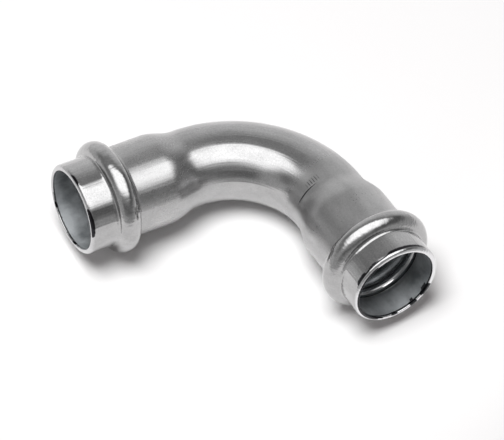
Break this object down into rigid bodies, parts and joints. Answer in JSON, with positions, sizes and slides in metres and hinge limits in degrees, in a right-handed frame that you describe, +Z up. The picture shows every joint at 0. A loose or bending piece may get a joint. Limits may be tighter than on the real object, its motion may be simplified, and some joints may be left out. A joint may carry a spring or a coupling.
{
  "type": "press elbow",
  "caption": "Bent steel press elbow that joins two pipes at a right angle, with a beaded press socket and a rubber seal ring at each end.",
  "frame": {"origin": "bottom centre of the box round the elbow, on the surface that it lies on", "axes": "+Z up, as it lies at rest on both beads and the bend, which tips the bend's plane by about 11 degrees; socket A opens towards -X and socket B towards -Y, each climbing by about 8 degrees"},
  "size_m": [0.0816, 0.0816, 0.0316],
  "materials": {
    "steel": "satin zinc-plated steel",
    "seal": "smooth black rubber"
  },
  "bodies": {
    "root": {"elbow_body": "steel", "seal_ring_a": "seal", "seal_ring_b": "seal"}
  },
  "joints": []
}
